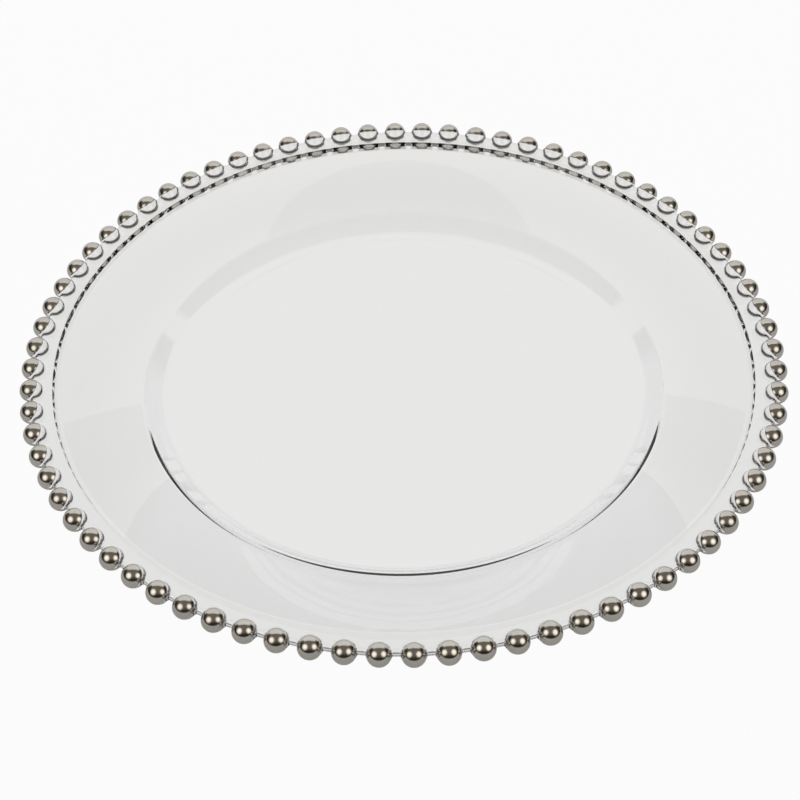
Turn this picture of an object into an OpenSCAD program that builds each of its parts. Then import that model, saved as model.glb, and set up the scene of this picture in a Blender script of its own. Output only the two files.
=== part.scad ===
// Round glass charger plate: a shallow well, a sloping flange and a flat rim band edged with beads.
// Millimetres. +Z is up, the resting face lies on Z = 0 and the Z axis runs through the centre.
// The two driving sizes are the diameter over the beads and the height from the table to the bead tops.
// The glass is one revolved section with true arcs at its corners. Its edge is cut straight from
// bead to bead, and a socket is cut for each bead, so the beads seat in the glass face to face.

/* [Overall] */
// Diameter over the beads
plate_d = 330; // [290:1:370]
// Height from the resting face to the tops of the beads
plate_h = 25; // [22:0.5:34]

/* [Glass] */
// Thickness of the pressed glass in the well and the flange
glass_t = 4.2; // [3:0.1:5.5]
// Diameter of the flat well floor, up to the foot of its wall
well_d = 205; // [160:1:225]
// Width of the sloping well wall, seen from above
wall_w = 11; // [7:0.5:18]
// Height of the well wall
wall_h = 4.6; // [3:0.1:7]
// Radius of the soft corner between the floor and the wall
well_corner_r = 7; // [3:0.5:12]
// Radius of the soft shoulder between the wall and the flange
shoulder_r = 12; // [4:0.5:18]

/* [Rim band] */
// Width of the band, from its inner line to the ring of bead centres
band_w = 9.1; // [6:0.1:14]
// Thickness of the glass under the band's top face
band_t = 4; // [3.4:0.1:6]
// Height of the band's top face above the bead centres
band_over = 1.4; // [0.8:0.1:2.2]
// Rise of the band's top face above the end of the flange
band_step = 1.3; // [0.6:0.1:2.2]
// Run of the slope that carries the rise, the inner part of the band
step_run = 3.7; // [1.8:0.1:4.6]
// Radius where the flange turns up into the band
step_r = 1.2; // [0.4:0.1:2]
// Radius where the slope turns into the band's top face
band_corner_r = 0.9; // [0.3:0.1:1.5]
// Width of the band's flat underside, out to the ring of bead centres
under_flat = 9.6; // [6.5:0.1:12]
// Distance from the ring of bead centres in to the glass edge, midway between two beads
edge_inset = 0; // [0:0.1:1.6]

/* [Beads] */
// Diameter of a silvered bead
bead_d = 9.8; // [8:0.1:11]
// Clear gap between neighbouring beads
bead_gap = 3.4; // [2.8:0.1:5]

/* [Colours] */
// Clear pressed glass
glass_colour = "#dfe4e3";
// Silver lacquer on the beads
silver_colour = "#b9b3a9";

/* [Hidden] */
// The beads are handed out over this many arcs, each one node
bead_arcs = 19;
// How far a rounded corner's web reaches, as a share of the arc's radius
web_share = 1.1;
// Facets of a rounded corner's whole circle, and of the revolved glass
arc_facets = 240;
plate_facets = 152;

bead_r = bead_d / 2;
bead_ring_r = plate_d / 2 - bead_r;
bead_z = plate_h - bead_r;
bead_count = round(2 * PI * bead_ring_r / (bead_d + bead_gap));
bead_pitch_a = 360 / bead_count;

floor_z = glass_t;
well_r = well_d / 2;
shoulder_z = floor_z + wall_h;
shoulder_at_r = well_r + wall_w;
line_r = bead_ring_r - band_w;
band_top_z = bead_z + band_over;
band_under_z = band_top_z - band_t;
line_z = band_top_z - band_step;
// The glass edge is a polygon with its corners hidden in the beads
edge_corner_r = (bead_ring_r - edge_inset) / cos(bead_pitch_a / 2);

wall_a = atan2(wall_h, wall_w);
flange_a = atan2(line_z - shoulder_z, line_r - shoulder_at_r);

$fn = 48;

glass_plate();
for (arc = [1 : bead_arcs]) bead_arc(arc);

// "bead_arc_01" for the first arc, and so on
function arc_name(arc) = str("bead_arc_", len(str(arc)) < len(str(bead_arcs)) ? "0" : "", arc);

// A unit vector along v
function along(v) = v / norm(v);

// The corner under a corner of the top face, where a line climbing at one angle turns to another
function under(corner, angle_in, angle_out) =
    corner + glass_t / cos((angle_out - angle_in) / 2)
    * [sin((angle_in + angle_out) / 2), -cos((angle_in + angle_out) / 2)];

// The neighbour of a corner, one step on or back round the outline
function neighbour(corners, i, step) = corners[(i + step + len(corners)) % len(corners)][0];

// Where a rounded corner's arc leaves the side that runs to the given neighbour
function tangent_point(corners, i, step) =
    let (
        at = corners[i][0],
        to = along(neighbour(corners, i, step) - at),
        other = along(neighbour(corners, i, -step) - at),
        half_a = acos(to * other) / 2
    )
    at + to * corners[i][1] / tan(half_a);

// The centre of a rounded corner's arc
function arc_centre(corners, i) =
    let (
        at = corners[i][0],
        back = along(neighbour(corners, i, -1) - at),
        on = along(neighbour(corners, i, 1) - at),
        half_a = acos(back * on) / 2
    )
    at + along(back + on) * corners[i][1] / sin(half_a);

// True where the outline, followed anticlockwise, turns left
function bulges(corners, i) =
    let (
        at = corners[i][0],
        back = at - neighbour(corners, i, -1),
        on = neighbour(corners, i, 1) - at
    )
    back[0] * on[1] - back[1] * on[0] > 0;

// The points of an outline, with each inward corner cut off straight where its arc starts and ends
function cut_corners(corners) = [
    for (i = [0 : len(corners) - 1])
        each corners[i][1] > 0 && !bulges(corners, i)
            ? [tangent_point(corners, i, -1), tangent_point(corners, i, 1)]
            : [corners[i][0]]
];

// What an outward corner loses to its arc, reaching a little past the corner's two sides
module corner_web(corners, i) {
    centre = arc_centre(corners, i);
    start = tangent_point(corners, i, -1);
    end = tangent_point(corners, i, 1);
    past = [for (point = [start, corners[i][0], end]) centre + web_share * (point - centre)];
    difference() {
        polygon([start, past[0], past[1], past[2], end]);
        translate(centre) circle(r = corners[i][1], $fn = arc_facets);
    }
}

// An outline whose corners, each [point, radius], are rounded by true arcs. Only cuts are made:
// an inward corner is hollowed by its circle, and an outward one loses its web.
module rounded_outline(corners) {
    difference() {
        polygon(cut_corners(corners));
        for (i = [0 : len(corners) - 1]) if (corners[i][1] > 0)
            if (bulges(corners, i)) corner_web(corners, i);
            else translate(arc_centre(corners, i)) circle(r = corners[i][1], $fn = arc_facets);
    }
}

// The glass in section, from the axis out along the underside and back over the top
module glass_section() {
    shoulder = [shoulder_at_r, shoulder_z];
    well_corner = [well_r, floor_z];
    line = [line_r, line_z];
    // Under the flange the glass thins, from the shoulder out to the band's flat underside
    flange_under = under(shoulder, wall_a, flange_a);
    band_under = [bead_ring_r - under_flat, band_under_z];
    rounded_outline([
        [[0, 0], 0],
        [under(well_corner, 0, wall_a), well_corner_r + glass_t],
        [flange_under, shoulder_r - glass_t / 2],
        [band_under, glass_t],
        [[plate_d / 2, band_under_z], 0],
        [[plate_d / 2, band_top_z], 0],
        [[line_r + step_run, band_top_z], band_corner_r],
        [line, step_r],
        [shoulder, shoulder_r],
        [well_corner, well_corner_r],
        [[0, floor_z], 0]
    ]);
}

// One bead in its place on the ring
module bead(i) {
    rotate(i * bead_pitch_a) translate([bead_ring_r, 0, bead_z]) sphere(r = bead_r);
}

// The outline of the glass seen from above, straight from bead to bead
module edge_outline() {
    polygon([for (i = [0 : bead_count - 1]) edge_corner_r * [cos(i * bead_pitch_a), sin(i * bead_pitch_a)]]);
}

// The whole pressing: well, flange and band, with a socket for each bead round its edge
module glass_plate() {
    color(glass_colour) difference() {
        intersection() {
            rotate_extrude($fn = plate_facets) glass_section();
            linear_extrude(height = plate_h) edge_outline();
        }
        for (i = [0 : bead_count - 1]) bead(i);
    }
}

// The beads that fall in one arc of the rim
module bead_arc(arc) {
    color(silver_colour)
        for (i = [0 : bead_count - 1])
            if (floor(i * bead_arcs / bead_count) == arc - 1) bead(i);
}
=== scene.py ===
"""Glass charger plate: a clear pressing with a beaded rim, its beads silvered on their outer side."""

import math

import bpy
import numpy as np
from bpy.props import FloatProperty, FloatVectorProperty, IntProperty, PointerProperty
from mathutils import Matrix, Vector


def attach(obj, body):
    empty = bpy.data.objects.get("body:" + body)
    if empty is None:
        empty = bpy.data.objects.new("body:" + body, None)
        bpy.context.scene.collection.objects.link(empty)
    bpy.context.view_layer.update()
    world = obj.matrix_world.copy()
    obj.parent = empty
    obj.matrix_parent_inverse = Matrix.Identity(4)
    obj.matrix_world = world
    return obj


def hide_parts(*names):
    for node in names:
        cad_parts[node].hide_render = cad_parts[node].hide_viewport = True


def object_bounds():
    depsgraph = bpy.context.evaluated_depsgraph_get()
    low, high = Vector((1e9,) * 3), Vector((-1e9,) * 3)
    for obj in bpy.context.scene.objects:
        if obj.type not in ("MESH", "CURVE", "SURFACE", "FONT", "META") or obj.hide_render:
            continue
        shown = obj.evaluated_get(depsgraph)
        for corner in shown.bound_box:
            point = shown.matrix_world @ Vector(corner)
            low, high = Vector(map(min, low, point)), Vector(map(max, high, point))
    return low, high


bl_info = {
    "name": "Beaded charger plate",
    "version": (1, 0, 0),
    "blender": (4, 5, 0),
    "location": "View3D > Sidebar > Charger",
    "description": "Presses a glass charger plate, silvers the beads of its rim and sets a plain stage",
    "category": "Add Mesh",
}

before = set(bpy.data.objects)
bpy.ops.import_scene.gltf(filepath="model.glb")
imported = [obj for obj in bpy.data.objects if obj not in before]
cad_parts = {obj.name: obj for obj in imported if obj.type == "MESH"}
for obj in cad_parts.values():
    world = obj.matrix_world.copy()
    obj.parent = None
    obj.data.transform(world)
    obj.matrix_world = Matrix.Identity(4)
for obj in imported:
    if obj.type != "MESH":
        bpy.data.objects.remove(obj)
CAD_LOW, CAD_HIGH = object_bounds()

MM = 0.001
BODY = "root"
ARC_NODES = sorted(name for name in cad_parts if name.startswith("bead_arc_"))

# Steps in the arc of a corner of the section
CORNER_STEPS = 8
# Columns of points for each bead, of which the plain stretches keep one in COARSER
COLUMNS_PER_BEAD = 18
COARSER = 3
# The longest step along the band, and the points round its edge
RIM_STEP = 0.7 * MM
EDGE_POINTS = 25
# Points nearer than this to a seam are left out
SEAM_SLACK = 0.05 * MM
# Sides round the silver coat of a bead, and steps from its middle to its edge
COAT_SIDES = 48
COAT_STEPS = 18


def hex_to_linear(code):
    """An sRGB colour such as "#dfe4e3" as the linear values that Blender's nodes take."""
    srgb = np.array([int(code[i : i + 2], 16) / 255 for i in (1, 3, 5)])
    return tuple(np.where(srgb <= 0.04045, srgb / 12.92, ((srgb + 0.055) / 1.055) ** 2.4))


def length(name, description, millimetres):
    """A length property that shows in scene units and is written here in millimetres."""
    return FloatProperty(
        name=name, description=description, default=millimetres * MM, min=0.0, unit="LENGTH", precision=5
    )


def angle(name, description, degrees):
    """An angle property, written here in degrees."""
    return FloatProperty(
        name=name, description=description, default=math.radians(degrees), subtype="ANGLE"
    )


def colour(name, description, code):
    """A colour property, written here as an sRGB hex value."""
    return FloatVectorProperty(
        name=name, description=description, default=hex_to_linear(code), subtype="COLOR", min=0, max=1
    )


class PlateSizes(bpy.types.PropertyGroup):
    """The pressing's sizes: the solid model's, but for a steeper well wall and step and a rising band."""

    over_beads: length("Over the beads", "Diameter of the packed model", (CAD_HIGH.x - CAD_LOW.x) / MM)
    height: length("Height", "From the table to the bead tops in the packed model", CAD_HIGH.z / MM)
    glass: length("Glass thickness", "Thickness of the well and the flange", 4.2)
    well: length("Well floor", "Diameter of the flat floor, up to the foot of its wall", 208)
    wall_run: length("Wall width", "Width of the sloping well wall, seen from above", 8)
    wall_rise: length("Wall height", "Height of the well wall", 6)
    well_corner: length("Well corner", "Radius of the soft corner between the floor and the wall", 8)
    shoulder: length("Shoulder", "Radius of the shoulder between the wall and the flange", 2.3)
    band: length("Band width", "From the foot of the band's step to the ring of bead centres", 9.9)
    band_glass: length("Band thickness", "Thickness of the glass at the ring of bead centres", 4.2)
    band_over: length("Band over centres", "Height of the band's top face over the bead centres", 1.8)
    band_rise: length("Band rise", "Rise of the band's top face from its step out to the bead ring", 0.6)
    step: length("Step", "Height of the wall between the end of the flange and the band's top face", 1.6)
    step_run: length("Step run", "Run of the wall that carries the step", 0.8)
    step_foot: length("Step foot", "Radius where the flange turns up into the step", 0.4)
    step_head: length("Step head", "Radius where the step turns into the band's top face", 0.4)
    under_band: length("Band underside", "Width of the band's underside, out to the bead centres", 11.4)
    under_fall: length("Underside fall", "Fall of the band's underside out to the bead ring", 0.4)
    edge_inset: length("Edge inset", "From the bead centres' ring in to the glass edge between beads", 0)


class BeadSizes(bpy.types.PropertyGroup):
    """The beads of the rim and the silver on them."""

    bead: length("Bead", "Diameter of a silvered bead", 9.8)
    count: IntProperty(name="Beads", description="Beads round the rim", default=76, min=3)
    coat: length("Coat", "Thickness of the silver, far over a real coat's so that it has two faces", 0.04)
    coat_lean: angle("Coat lean", "How far the coated side looks up from level", 47.7)
    coat_reach: angle("Coat reach", "How far the coat reaches round the bead from its middle", 78.8)


class Finishes(bpy.types.PropertyGroup):
    """Colours of the two finishes."""

    glass: colour("Clear glass", "Tint that the light takes on its way through the glass", "#f8f8f8")
    silver: colour("Silver coat", "Warm grey of the silver coat", "#d5d2cc")
    silver_dull: colour("Silver coat, worn", "Where the coat has dulled a little", "#c6c2bb")


class StageSettings(bpy.types.PropertyGroup):
    """The camera's fit to the photograph."""

    focal: FloatProperty(name="Focal length", description="In millimetres", default=89.058, unit="CAMERA")
    distance: length("Camera distance", "From the centre of the bead ring", 857.30)
    elevation: angle("Camera elevation", "Above the level of the bead ring", 43.932)
    azimuth: angle("Camera azimuth", "Turn about the plate's axis", -0.787)
    pan: angle("Camera pan", "Turn to the left of the plate's centre", 0.1139)
    tilt: angle("Camera tilt", "Turn up from the plate's centre", -1.1666)
    roll: angle("Camera roll", "Turn about the line of sight", 0.9694)


def round_corners(corners):
    """A line through corners, each (r, z, radius), whose corners with a radius are arcs.

    The circle of that radius touches both sides radius / tan(half) from the corner, where half is
    half the angle between them, and its centre lies radius / sin(half) from the corner.
    """
    points = []
    for i, (r, z, radius) in enumerate(corners):
        at = np.array([r, z])
        if radius == 0:
            points.append(at[None])
            continue
        back, on = (np.array(corners[j][:2]) - at for j in (i - 1, i + 1))
        back, on = back / np.linalg.norm(back), on / np.linalg.norm(on)
        half = math.acos(float(back @ on)) / 2
        centre = at + (back + on) / np.linalg.norm(back + on) * radius / math.sin(half)
        start, end = (at + side * radius / math.tan(half) - centre for side in (back, on))
        first, last = math.atan2(start[1], start[0]), math.atan2(end[1], end[0])
        turn = (last - first + math.pi) % (2 * math.pi) - math.pi
        angles = first + turn * np.linspace(0, 1, CORNER_STEPS + 1)
        points.append(centre + radius * np.stack([np.cos(angles), np.sin(angles)], 1))
    return np.concatenate(points)


def under(corner, angle_in, angle_out, thickness):
    """The corner of the underside that lies under a corner of the top face.

    It is thickness / cos(half the turn) away, square to the mean of the two directions.
    """
    mean = (angle_in + angle_out) / 2
    away = thickness / math.cos((angle_out - angle_in) / 2)
    return np.array(corner) + away * np.array([math.sin(mean), -math.cos(mean)])


class Section:
    """The glass in section: lines (r, z) of its top and underside, from the axis out to the rim."""

    def __init__(self, plate, beads):
        self.bead_r = beads.bead / 2
        self.ring_r = plate.over_beads / 2 - self.bead_r
        self.ring_z = plate.height - self.bead_r
        band_top = self.ring_z + plate.band_over
        band_under = band_top - plate.band_glass
        head = np.array([self.ring_r - plate.band + plate.step_run, band_top - plate.band_rise])
        foot = head - [plate.step_run, plate.step]
        well = np.array([plate.well / 2, plate.glass])
        shoulder = well + [plate.wall_run, plate.wall_rise]
        wall_a = math.atan2(plate.wall_rise, plate.wall_run)
        flange_a = math.atan2(*(foot - shoulder)[::-1])
        # Where the rim's own surface takes over from the flange
        self.join_r = foot[0] - plate.step_foot
        self.top = round_corners([
            (0, plate.glass, 0),
            (*well, plate.well_corner),
            (*shoulder, plate.shoulder),
            (*foot, plate.step_foot),
            (*head, plate.step_head),
            (self.ring_r, band_top, 0),
        ])
        self.underside = round_corners([
            (0, 0, 0),
            (*under(well, 0, wall_a, plate.glass), plate.well_corner + plate.glass),
            (*under(shoulder, wall_a, flange_a, plate.glass), plate.shoulder - plate.glass / 2),
            (self.ring_r - plate.under_band, band_under + plate.under_fall, plate.glass),
            (self.ring_r, band_under, 0),
        ])

    def up_to_join(self, line):
        """The points of a line that lie inside the join, without the one on the axis."""
        return line[line[:, 0] < self.join_r - SEAM_SLACK][1:]

    def band_line(self, line, core_r):
        """Points of a line from the join out to the core's radius, no more than RIM_STEP apart."""
        turns = line[(line[:, 0] > self.join_r + SEAM_SLACK) & (line[:, 0] < core_r - SEAM_SLACK)]
        stops = np.concatenate([[self.join_r], turns[:, 0], [core_r]])
        radii = np.concatenate([
            np.linspace(start, stop, math.ceil((stop - start) / RIM_STEP), endpoint=False)
            for start, stop in zip(stops, stops[1:])
        ])
        return np.stack([radii, np.interp(radii, line[:, 0], line[:, 1])], 1)


def ring(radii, heights, count):
    """A closed ring of count points round the Z axis; radii and heights are one value or one a point."""
    turn = 2 * np.pi * np.arange(count) / count
    radii = np.broadcast_to(radii, count)
    return np.stack([radii * np.cos(turn), radii * np.sin(turn), np.broadcast_to(heights, count)], 1)


def sides(loop, count):
    """The points of a loop, shared out over count equal sides that include both of their ends."""
    step = len(loop) // count
    return loop[(np.arange(count)[:, None] * step + np.arange(step + 1)) % len(loop)]


def skin(rings, first_pole, last_pole):
    """Points and faces of a closed skin over rings that run round an axis from pole to pole.

    Neighbouring rings are joined by faces with one side on the coarser ring and the matching one
    or more sides on the finer, and a pole by triangles. Faces look away from the axis when the
    rings turn right-handed about the direction of the first pole.
    """
    starts = np.cumsum([0] + [len(points) for points in rings])
    loops = [start + np.arange(len(points)) for start, points in zip(starts, rings)]
    first, last = starts[-1], starts[-1] + 1
    faces = []
    for near, far in zip(loops[:-1], loops[1:]):
        count = min(len(near), len(far))
        faces += np.hstack([sides(near, count)[:, ::-1], sides(far, count)]).tolist()
    for pole, loop in ((first, loops[0]), (last, loops[-1][::-1])):
        faces += np.stack([np.full(len(loop), pole), loop, np.roll(loop, -1)], 1).tolist()
    return np.concatenate(rings + [[first_pole], [last_pole]]), faces


def add_object(name, data):
    """A new object in the scene."""
    made = bpy.data.objects.new(name, data)
    bpy.context.scene.collection.objects.link(made)
    return made


def add_piece(name, points, faces, material, replaced):
    """A smooth mesh object that rides on the body and stands for the named solids."""
    mesh = bpy.data.meshes.new(name)
    mesh.from_pydata(points.tolist(), [], faces)
    if mesh.validate():
        raise RuntimeError(f"{name}: the mesh had faults")
    mesh.shade_smooth()
    mesh.materials.append(material)
    piece = add_object(name, mesh)
    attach(piece, BODY)
    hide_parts(*replaced)


# From the ring of bead centres in to the point inside the band about which the rim is drawn
CORE_IN = 2.5 * MM
# Power of the band's rounded edge, where 2 is an ellipse
EDGE_POWER = 2.0
# Power that joins bead and band: the higher it is, the smaller the fillet
FILLET_POWER = 26.0
# Columns stay fine where a bead reaches this share of the band's distance
NEAR_SHARE = 0.75


def band_outline(section, plate):
    """The core, a point inside the band, and the outline of the band without its beads about it.

    Inward the outline is the band's top and underside. Outward it is a superellipse,
    (|c / a|^p + |s / b|^p)^(-1/p) from the core in the direction (c, s), which rounds the edge.
    """
    core_r = section.ring_r - CORE_IN
    top_z, under_z = (np.interp(core_r, *line.T) for line in (section.top, section.underside))
    core, half = np.array([core_r, (top_z + under_z) / 2]), (top_z - under_z) / 2
    edge = CORE_IN - plate.edge_inset
    around = np.linspace(np.pi / 2, -np.pi / 2, EDGE_POINTS)
    c, s = np.cos(around), np.sin(around)
    power = EDGE_POWER
    rounded = ((np.clip(c, 0, 1) / edge) ** power + (np.abs(s) / half) ** power) ** (-1 / power)
    return core, np.concatenate([
        section.band_line(section.top, core_r) - core,
        np.stack([rounded * c, rounded * s], 1),
        (section.band_line(section.underside, core_r) - core)[::-1],
    ])


def bead_distance(section, beads, core, from_bead, c, s):
    """How far from the core a ray (c, s) leaves the nearest bead, or 0 where it misses the bead.

    The angles from_bead, round the plate from the middle of the bead, give the circle that the
    bead shows in section there. The ray leaves it at its far crossing.
    """
    bead_x = section.ring_r * np.cos(from_bead) - core[0]
    bead_z = section.ring_z - core[1]
    # The glass ends in the middle of the coat's thickness
    shown = (section.bead_r - beads.coat / 2) ** 2 - (section.ring_r * np.sin(from_bead)) ** 2
    along = bead_x * c + bead_z * s
    inside = along**2 - (bead_x**2 + bead_z**2 - shown)
    crossing = along + np.sqrt(np.clip(inside, 0, None))
    return np.where((inside > 0) & (shown > 0), np.clip(crossing, 0, None), 0)


def rim_rings(section, plate, beads):
    """The beaded rim as rings, from the band's top round its edge to its underside.

    In each direction from the core the rim lies at (band^p + bead^p)^(1/p), where band and bead
    are the distances to the two. With its high power that is the larger of them, with a small
    fillet where they cross.
    """
    core, outline = band_outline(section, plate)
    band = np.hypot(*outline.T)
    c, s = outline.T / band
    columns = beads.count * COLUMNS_PER_BEAD
    turn = 2 * np.pi * np.arange(columns) / columns
    pitch = 2 * np.pi / beads.count
    from_bead = ((turn + pitch / 2) % pitch - pitch / 2)[:, None]
    bead = bead_distance(section, beads, core, from_bead, c, s)
    # Powers are taken of shares of the band's distance, so that they stay in range
    far = band * (1 + (bead / band) ** FILLET_POWER) ** (1 / FILLET_POWER)
    r, z = core[0] + far * c, core[1] + far * s
    steps = np.where((bead > NEAR_SHARE * band).any(axis=0), 1, COARSER)
    return [ring(r[::step, j], z[::step, j], columns // step) for j, step in enumerate(steps)]


class CHARGER_OT_press_glass(bpy.types.Operator):
    """Press the glass plate: well, flange, band and the glass of its beads in one piece"""

    bl_idname = "charger.press_glass"
    bl_label = "Press the glass plate"

    def execute(self, context):
        plate, beads = context.scene.charger_plate, context.scene.charger_beads
        section = Section(plate, beads)
        coarse = beads.count * COLUMNS_PER_BEAD // COARSER
        top = [ring(r, z, coarse) for r, z in section.up_to_join(section.top)]
        underside = [ring(r, z, coarse) for r, z in section.up_to_join(section.underside)]
        points, faces = skin(
            top + rim_rings(section, plate, beads) + underside[::-1],
            (0, 0, section.top[0, 1]),
            (0, 0, section.underside[0, 1]),
        )
        material = clear_glass(context.scene.charger_finish)
        add_piece("pressed_glass", points, faces, material, ["glass_plate"])
        return {"FINISHED"}


class CHARGER_OT_silver_beads(bpy.types.Operator):
    """Silver the outer side of the beads, one piece for each arc of the rim"""

    bl_idname = "charger.silver_beads"
    bl_label = "Silver the beads"

    def execute(self, context):
        beads = context.scene.charger_beads
        section = Section(context.scene.charger_plate, beads)
        material = silver_coat(context.scene.charger_finish)
        for arc, node in enumerate(ARC_NODES):
            # Bead i falls in the arc whose number is i x arcs / beads, cut down to a whole number
            mine = [i for i in range(beads.count) if i * len(ARC_NODES) // beads.count == arc]
            caps, caps_faces = zip(*(coat(section, beads, 2 * math.pi * i / beads.count) for i in mine))
            faces = [
                [corner + k * len(caps[0]) for corner in face]
                for k, cap_faces in enumerate(caps_faces)
                for face in cap_faces
            ]
            name = node.replace("bead_arc", "silver_arc")
            add_piece(name, np.concatenate(caps), faces, material, [node])
        return {"FINISHED"}


def coat(section, beads, turn):
    """The silver on one bead: a thin closed cap, its outer face on the bead's own sphere.

    With the coated side's middle as axis, a point lies at radius (sin v, cos v) for an angle v
    that runs from the axis out to the reach on the outer face, and back on the inner one. The
    inner face lies a little under the glass, so that the two touch with no air between them.
    """
    v = np.linspace(0, beads.coat_reach, COAT_STEPS + 1)[1:]
    v = np.concatenate([v, v[::-1]])
    radii = np.repeat([section.bead_r, section.bead_r - beads.coat], COAT_STEPS)
    out = np.array([math.cos(turn), math.sin(turn), 0.0])
    side = np.array([-math.sin(turn), math.cos(turn), 0.0])
    axis = math.cos(beads.coat_lean) * out + math.sin(beads.coat_lean) * np.array([0, 0, 1.0])
    third = np.cross(axis, side)
    centre = section.ring_r * out + np.array([0, 0, section.ring_z])
    u = 2 * np.pi * np.arange(COAT_SIDES) / COAT_SIDES
    round_axis = np.cos(u)[:, None] * side + np.sin(u)[:, None] * third
    rings = [
        centre + radius * (math.cos(angle_out) * axis + math.sin(angle_out) * round_axis)
        for radius, angle_out in zip(radii, v)
    ]
    return skin(rings, centre + radii[0] * axis, centre + radii[-1] * axis)


def new_material(name):
    """An empty node material."""
    material = bpy.data.materials.new(name)
    material.use_nodes = True
    material.node_tree.nodes.clear()
    return material


def add_node(tree, kind, settings=None, **inputs):
    """A node with its settings, and its inputs set to values or linked to other nodes' outputs.

    An input's name is written with underscores for its spaces; one like in_1 is the input's number.
    """
    node = tree.nodes.new(kind)
    for name, value in (settings or {}).items():
        setattr(node, name, value)
    for name, value in inputs.items():
        socket = node.inputs[int(name[3:]) if name.startswith("in_") else name.replace("_", " ")]
        if isinstance(value, bpy.types.NodeSocket):
            tree.links.new(value, socket)
        else:
            socket.default_value = value
    return node


def maths(tree, operation, first, second=0.0):
    """The result of one sum on values or outputs."""
    return add_node(tree, "ShaderNodeMath", {"operation": operation}, in_0=first, in_1=second).outputs[0]


def ramp(tree, value, stretch, levels=(0.0, 1.0)):
    """A level that passes smoothly from the first to the second as a value runs over a stretch."""
    return add_node(
        tree, "ShaderNodeMapRange", {"interpolation_type": "SMOOTHSTEP"}, Value=value,
        From_Min=stretch[0], From_Max=stretch[1], To_Min=levels[0], To_Max=levels[1],
    ).outputs[0]


def rgba(linear):
    """A linear colour as nodes take it, with its alpha."""
    return (*linear, 1)


def blend(tree, share, first, second):
    """A colour that lies a share of the way from the first to the second."""
    mix = add_node(tree, "ShaderNodeMix", {"data_type": "RGBA"}, Factor=share, in_6=first, in_7=second)
    return mix.outputs[2]


def object_place(tree):
    """Where a point lies in its object's own coordinates."""
    return add_node(tree, "ShaderNodeTexCoord").outputs["Object"]


def distance_out(tree):
    """How far a point lies from its object's origin."""
    measure = {"operation": "LENGTH"}
    return add_node(tree, "ShaderNodeVectorMath", measure, Vector=object_place(tree)).outputs["Value"]


def clear_glass(finish):
    """Lead-free crystal glass, pressed and fire polished: clear, a little grey, with a lazy ripple."""
    material = new_material("pressed crystal glass")
    tree = material.node_tree
    place = object_place(tree)
    # The mould leaves a ripple some 14 mm long and a few microns high
    ripple = add_node(tree, "ShaderNodeTexNoise", Vector=place, Scale=1 / (14 * MM), Detail=1.0)
    bump = add_node(tree, "ShaderNodeBump", Height=ripple.outputs[0], Distance=0.01 * MM, Strength=0.5)
    body = add_node(
        tree, "ShaderNodeBsdfPrincipled", Base_Color=rgba(finish.glass), Roughness=0.0, IOR=1.55,
        Transmission_Weight=1.0, Normal=bump.outputs[0],
    )
    add_node(tree, "ShaderNodeOutputMaterial", Surface=body.outputs[0])
    return material


def silver_coat(finish):
    """Silver lacquer on fire-polished glass: a soft mirror, warm grey and a little uneven."""
    material = new_material("silver lacquer")
    tree = material.node_tree
    place = object_place(tree)
    # Dulling changes over about a bead's width, and the fine haze over a third of a millimetre
    dulling = add_node(tree, "ShaderNodeTexNoise", Vector=place, Scale=1 / (9 * MM), Detail=3.0)
    haze = add_node(tree, "ShaderNodeTexNoise", Vector=place, Scale=1 / (0.35 * MM), Detail=2.0)
    tone = blend(tree, dulling.outputs[0], rgba(finish.silver), rgba(finish.silver_dull))
    roughness = add_node(
        tree, "ShaderNodeMapRange", Value=dulling.outputs[0],
        From_Min=0.3, From_Max=0.7, To_Min=0.12, To_Max=0.18,
    )
    bump = add_node(tree, "ShaderNodeBump", Height=haze.outputs[0], Distance=0.002 * MM, Strength=0.5)
    body = add_node(
        tree, "ShaderNodeBsdfPrincipled", Base_Color=tone, Metallic=1.0,
        Roughness=roughness.outputs[0], Normal=bump.outputs[0],
    )
    add_node(tree, "ShaderNodeOutputMaterial", Surface=body.outputs[0])
    return material


class CHARGER_OT_set_stage(bpy.types.Operator):
    """Set the pale floor, the soft light and the camera at the photograph's angle"""

    bl_idname = "charger.set_stage"
    bl_label = "Set the stage"

    def execute(self, context):
        scene = context.scene
        scene.view_settings.view_transform = "Standard"
        add_floor()
        add_world(scene)
        add_panel()
        add_soft_boxes()
        add_camera(scene)
        return {"FINISHED"}


# Half the floor's width, and how far it lies under the resting face
FLOOR_HALF = 3.0
FLOOR_DROP = 0.1 * MM
# How bright the floor is to the camera itself
FLOOR_BARE = 0.96
# Through the glass it is brighter under the well than under the raised flange, which carries a painted
# shade of the flange; it changes from the one to the other between these distances from the axis
FLOOR_IN_GLASS = (0.82, 0.765)
FLANGE_SHADE = (0.10, 0.14)
# In the silver it is grey, a painted shade, and falls into deeper painted shade between these distances
FLOOR_IN_METAL = (0.33, 0.04)
FAR_SHADE = (0.4, 0.9)
# The share of the light that the sweep gives back as plain matt cloth to everything else
FLOOR_MATT = 0.8


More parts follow.
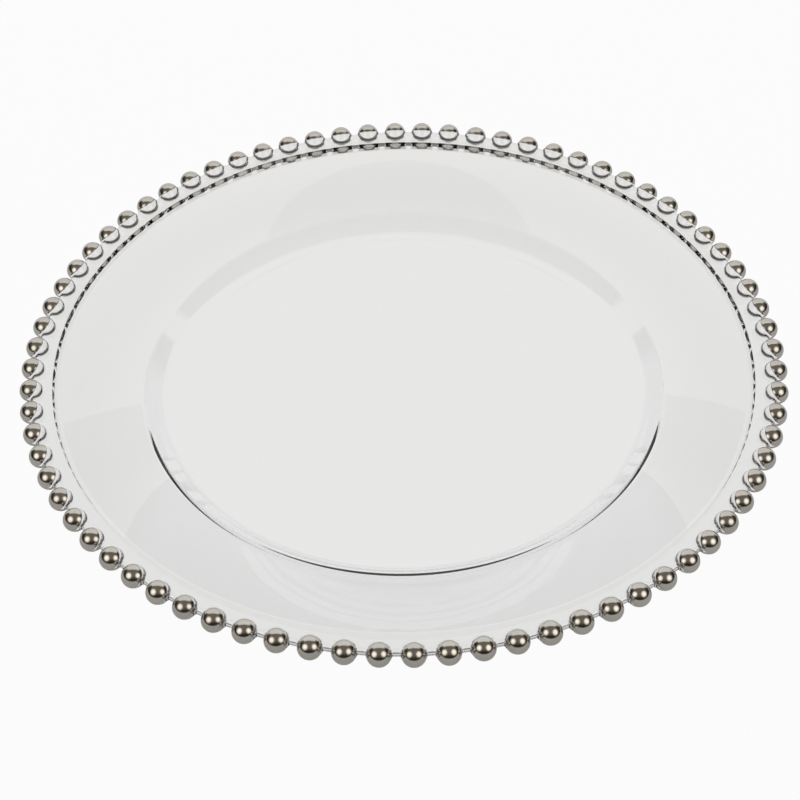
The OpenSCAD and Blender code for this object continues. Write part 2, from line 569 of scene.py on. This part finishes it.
def add_floor():
    """A pale floor, just under the resting face, with its own brightness for each way it is seen."""
    mesh = bpy.data.meshes.new("floor")
    ways = [(-1, -1), (1, -1), (1, 1), (-1, 1)]
    corners = [(x * FLOOR_HALF, y * FLOOR_HALF, -FLOOR_DROP) for x, y in ways]
    mesh.from_pydata(corners, [], [(0, 1, 2, 3)])
    floor = add_object("floor", mesh)
    material = new_material("matt white sweep")
    tree = material.node_tree
    path = add_node(tree, "ShaderNodeLightPath").outputs
    out = distance_out(tree)
    # Painted shade: in the silver the floor shows grey and grows darker further from the axis
    in_metal = maths(tree, "MULTIPLY", path["Is Glossy Ray"], ramp(tree, out, FAR_SHADE, FLOOR_IN_METAL))
    # Painted shade: through the glass the floor is made darker under the raised flange
    under_glass = ramp(tree, out, FLANGE_SHADE, FLOOR_IN_GLASS)
    in_glass = maths(tree, "MULTIPLY", path["Is Transmission Ray"], under_glass)
    bare = maths(tree, "MULTIPLY", path["Is Camera Ray"], FLOOR_BARE)
    shown = maths(tree, "MAXIMUM", maths(tree, "MAXIMUM", in_metal, in_glass), bare)
    matt = add_node(tree, "ShaderNodeBsdfDiffuse", Color=rgba([FLOOR_MATT] * 3))
    white = add_node(tree, "ShaderNodeEmission", Strength=1.0)
    mix = add_node(tree, "ShaderNodeMixShader", in_0=shown, in_1=matt.outputs[0], in_2=white.outputs[0])
    add_node(tree, "ShaderNodeOutputMaterial", Surface=mix.outputs[0])
    mesh.materials.append(material)


# The room's colours low and high, and the heights of a direction between which they change. A
# height is the Z of a direction of length 1, and its depth is the Y.
ROOM_LOW = "#332e28"
ROOM_HIGH = "#77716a"
ROOM_HEIGHTS = (0.3, 0.85)
# The backdrop's brightness, the depths between which it begins and the heights between which it ends
BACKDROP = 0.82
BACKDROP_DEPTHS = (0.55, 0.7)
BACKDROP_HEIGHTS = (0.47, 0.57)
# The share of the backdrop that shows through the glass
BACKDROP_IN_GLASS = 0.2


def add_world(scene):
    """A dim room with a bright backdrop behind the plate; white to the camera itself."""
    world = bpy.data.worlds.new("studio")
    world.use_nodes = True
    scene.world = world
    tree = world.node_tree
    tree.nodes.clear()
    direction = add_node(tree, "ShaderNodeTexCoord").outputs["Generated"]
    axes = add_node(tree, "ShaderNodeSeparateXYZ", Vector=direction).outputs
    colours = (rgba(hex_to_linear(code)) for code in (ROOM_LOW, ROOM_HIGH))
    room = blend(tree, ramp(tree, axes["Z"], ROOM_HEIGHTS), *colours)
    behind = ramp(tree, axes["Y"], BACKDROP_DEPTHS)
    low = ramp(tree, axes["Z"], BACKDROP_HEIGHTS, (1.0, 0.0))
    path = add_node(tree, "ShaderNodeLightPath").outputs
    lost = maths(tree, "MULTIPLY", path["Is Transmission Ray"], 1 - BACKDROP_IN_GLASS)
    kept = maths(tree, "SUBTRACT", 1.0, lost)
    share = maths(tree, "MULTIPLY", maths(tree, "MULTIPLY", behind, low), kept)
    light = blend(tree, share, room, rgba([BACKDROP] * 3))
    studio = add_node(tree, "ShaderNodeBackground", Color=light, Strength=1.0)
    seen = add_node(tree, "ShaderNodeBackground", Color=(1, 1, 1, 1), Strength=1.0)
    mix = add_node(
        tree, "ShaderNodeMixShader",
        in_0=path["Is Camera Ray"], in_1=studio.outputs[0], in_2=seen.outputs[0],
    )
    add_node(tree, "ShaderNodeOutputWorld", Surface=mix.outputs[0])


# The panel's two widths, the place of its middle, its radiance and its nearly neutral colour
PANEL_SIZE = (2.6, 1.25)
PANEL_PLACE = (0, 0.935, 1.0)
PANEL_RADIANCE = 0.72
PANEL_COLOUR = "#fffefa"


def add_panel():
    """An oval panel of light overhead, behind the plate and looking straight down."""
    lamp = bpy.data.lights.new("overhead panel", "AREA")
    lamp.shape = "ELLIPSE"
    lamp.size, lamp.size_y = PANEL_SIZE
    # A lamp's power is pi x its radiance x its area, and an ellipse's area is pi / 4 x its two widths
    lamp.energy = PANEL_RADIANCE * math.pi * math.pi * PANEL_SIZE[0] * PANEL_SIZE[1] / 4
    lamp.color = hex_to_linear(PANEL_COLOUR)
    panel = add_object("overhead panel", lamp)
    panel.location = PANEL_PLACE
    panel.visible_camera = False


# The middle of the soft box on the right, whose partner mirrors it, and a box's radius and sides
SOFT_BOX_PLACE = Vector((0.55, -0.44, 0.52))
SOFT_BOX_RADIUS = 0.6
SOFT_BOX_SIDES = 64
# Its brightness in the middle, and the share of the radius where it begins to fall off
SOFT_BOX_PEAK = 1.7
SOFT_BOX_CORE = 0.1
SOFT_BOX_COLOUR = "#fff8ee"


def soft_box_glow():
    """The lit cloth of a soft box: bright in the middle, falling off to nothing at its edge."""
    material = new_material("soft box cloth")
    tree = material.node_tree
    fall = (SOFT_BOX_CORE * SOFT_BOX_RADIUS, SOFT_BOX_RADIUS)
    glow = ramp(tree, distance_out(tree), fall, (SOFT_BOX_PEAK, 0.0))
    front = maths(tree, "SUBTRACT", 1.0, add_node(tree, "ShaderNodeNewGeometry").outputs["Backfacing"])
    share = maths(tree, "MULTIPLY", maths(tree, "MINIMUM", glow, 1.0), front)
    lit = add_node(tree, "ShaderNodeEmission", Color=rgba(hex_to_linear(SOFT_BOX_COLOUR)), Strength=glow)
    clear = add_node(tree, "ShaderNodeBsdfTransparent")
    mix = add_node(tree, "ShaderNodeMixShader", in_0=share, in_1=clear.outputs[0], in_2=lit.outputs[0])
    add_node(tree, "ShaderNodeOutputMaterial", Surface=mix.outputs[0])
    return material


def add_soft_boxes():
    """Two lit discs in front of the plate, turned to face it, that show only as reflections."""
    material = soft_box_glow()
    turn = 2 * np.pi * np.arange(SOFT_BOX_SIDES) / SOFT_BOX_SIDES
    disc = SOFT_BOX_RADIUS * np.stack([np.cos(turn), np.sin(turn), 0 * turn], 1)
    for side in (-1, 1):
        mesh = bpy.data.meshes.new("soft box")
        mesh.from_pydata(disc.tolist(), [], [list(range(SOFT_BOX_SIDES))])
        mesh.materials.append(material)
        box = add_object("soft box", mesh)
        place = Vector((side * SOFT_BOX_PLACE.x, *SOFT_BOX_PLACE.yz))
        box.matrix_world = Matrix.LocRotScale(place, (-place).to_track_quat("Z", "Y"), None)
        box.visible_camera = box.visible_diffuse = box.visible_transmission = box.visible_shadow = False


# The sensor's width in millimetres, and the nearest and furthest points that the camera shows
SENSOR_WIDTH = 36
CLIP = (0.01, 50)


def turned(vectors, axis, amount):
    """Column vectors turned right-handed about an axis."""
    return np.array(Matrix.Rotation(amount, 3, Vector(axis))) @ vectors


def add_camera(scene):
    """The camera, aimed at the middle of the bead ring, then panned, tilted and rolled."""
    stage = scene.charger_stage
    section = Section(scene.charger_plate, scene.charger_beads)
    rise, run = math.sin(stage.elevation), math.cos(stage.elevation)
    right, up, back = np.array([1.0, 0, 0]), np.array([0, rise, run]), np.array([0, -run, rise])
    place = stage.distance * back
    axes = np.stack([right, up, back], 1)
    axes = turned(axes, axes[:, 1], stage.pan)
    axes = turned(axes, axes[:, 0], stage.tilt)
    axes = turned(axes, -axes[:, 2], stage.roll)
    axes = turned(axes, (0, 0, 1), stage.azimuth)
    place = turned(place, (0, 0, 1), stage.azimuth) + [0, 0, section.ring_z]
    lens = bpy.data.cameras.new("camera")
    lens.lens = stage.focal
    lens.sensor_width = SENSOR_WIDTH
    lens.clip_start, lens.clip_end = CLIP
    camera = add_object("camera", lens)
    camera.matrix_world = Matrix.LocRotScale(Vector(place), Matrix(axes.tolist()), None)
    scene.camera = camera


class CHARGER_PT_panel(bpy.types.Panel):
    """The charger plate's sizes, finishes and steps"""

    bl_label = "Charger plate"
    bl_idname = "CHARGER_PT_panel"
    bl_space_type = "VIEW_3D"
    bl_region_type = "UI"
    bl_category = "Charger"

    def draw(self, context):
        for name in GROUPS:
            box = self.layout.box()
            settings = getattr(context.scene, name)
            for prop in settings.__annotations__:
                box.prop(settings, prop)
        for step in STEPS:
            self.layout.operator(step.bl_idname)


GROUPS = {
    "charger_plate": PlateSizes,
    "charger_beads": BeadSizes,
    "charger_finish": Finishes,
    "charger_stage": StageSettings,
}
STEPS = (CHARGER_OT_press_glass, CHARGER_OT_silver_beads, CHARGER_OT_set_stage)
CLASSES = (*GROUPS.values(), *STEPS, CHARGER_PT_panel)


def register():
    for cls in CLASSES:
        bpy.utils.register_class(cls)
    for name, group in GROUPS.items():
        setattr(bpy.types.Scene, name, PointerProperty(type=group))


def unregister():
    for name in GROUPS:
        delattr(bpy.types.Scene, name)
    for cls in reversed(CLASSES):
        bpy.utils.unregister_class(cls)


def main():
    """Makes every piece and the stage."""
    register()
    bpy.ops.charger.press_glass()
    bpy.ops.charger.silver_beads()
    bpy.ops.charger.set_stage()


if __name__ == "__main__":
    main()
